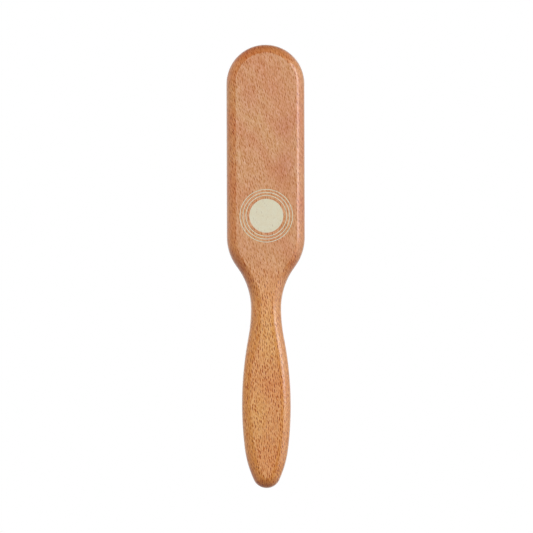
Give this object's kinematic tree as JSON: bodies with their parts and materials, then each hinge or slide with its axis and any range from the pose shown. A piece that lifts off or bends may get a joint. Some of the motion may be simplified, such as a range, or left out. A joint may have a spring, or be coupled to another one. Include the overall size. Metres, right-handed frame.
{
  "type": "wooden-pin scalp massager brush",
  "caption": "Narrow paddle brush in one-piece lacquered beech with a slim neck and teardrop handle; ball-tipped wooden pins on a domed rubber cushion that gives, for scalp massage.",
  "frame": {"origin": "on the upright brush's centre line at the height of the butt, midway between the flat back and the tallest pin tips, which is the plane of the rim around the cushion", "axes": "+Z from the butt to the top of the head, +Y the way the pins stand, -Y the flat back, +X to the right seen from the back"},
  "size_m": [0.0396, 0.03, 0.225],
  "materials": {
    "lacquered_beech": "semi-gloss clear lacquer",
    "print_ink": "matt pad print",
    "natural_rubber": "matt natural rubber",
    "wool_felt": "pressed felt",
    "turned_wood": "waxed, unlacquered"
  },
  "bodies": {
    "brush_body": {"wooden_body": "lacquered_beech", "printed_roundel": "print_ink", "rubber_cushion": "natural_rubber"},
    "pin_field": {"felt_backing": "wool_felt"},
    "pin_row_1": {"pin_row_1": "turned_wood"},
    "pin_row_2": {"pin_row_2": "turned_wood"},
    "pin_row_3": {"pin_row_3": "turned_wood"},
    "pin_row_4": {"pin_row_4": "turned_wood"},
    "pin_row_5": {"pin_row_5": "turned_wood"}
  },
  "joints": [
    {"name": "cushion_press", "type": "slide", "parent": "brush_body", "child": "pin_field", "axis": [0, -1, 0], "range_m": [0, 0.0025], "stiffness_N_per_m": 2000, "deforming": ["rubber_cushion"]},
    {"name": "row_1_tilt", "type": "hinge", "parent": "pin_field", "child": "pin_row_1", "pos_m": [-0.0104, 0.00076, 0.16612], "axis": [0, 0, 1], "range_deg": [-10, 10], "stiffness_Nm_per_rad": 0.01, "deforming": ["rubber_cushion"]},
    {"name": "row_2_tilt", "type": "hinge", "parent": "pin_field", "child": "pin_row_2", "pos_m": [-0.0052, 0.00223, 0.16612], "axis": [0, 0, 1], "range_deg": [-10, 10], "stiffness_Nm_per_rad": 0.01, "deforming": ["rubber_cushion"]},
    {"name": "row_3_tilt", "type": "hinge", "parent": "pin_field", "child": "pin_row_3", "pos_m": [0, 0.0027, 0.16612], "axis": [0, 0, 1], "range_deg": [-10, 10], "stiffness_Nm_per_rad": 0.01, "deforming": ["rubber_cushion"]},
    {"name": "row_4_tilt", "type": "hinge", "parent": "pin_field", "child": "pin_row_4", "pos_m": [0.0052, 0.00223, 0.16612], "axis": [0, 0, 1], "range_deg": [-10, 10], "stiffness_Nm_per_rad": 0.01, "deforming": ["rubber_cushion"]},
    {"name": "row_5_tilt", "type": "hinge", "parent": "pin_field", "child": "pin_row_5", "pos_m": [0.0104, 0.00076, 0.16612], "axis": [0, 0, 1], "range_deg": [-10, 10], "stiffness_Nm_per_rad": 0.01, "deforming": ["rubber_cushion"]}
  ]
}
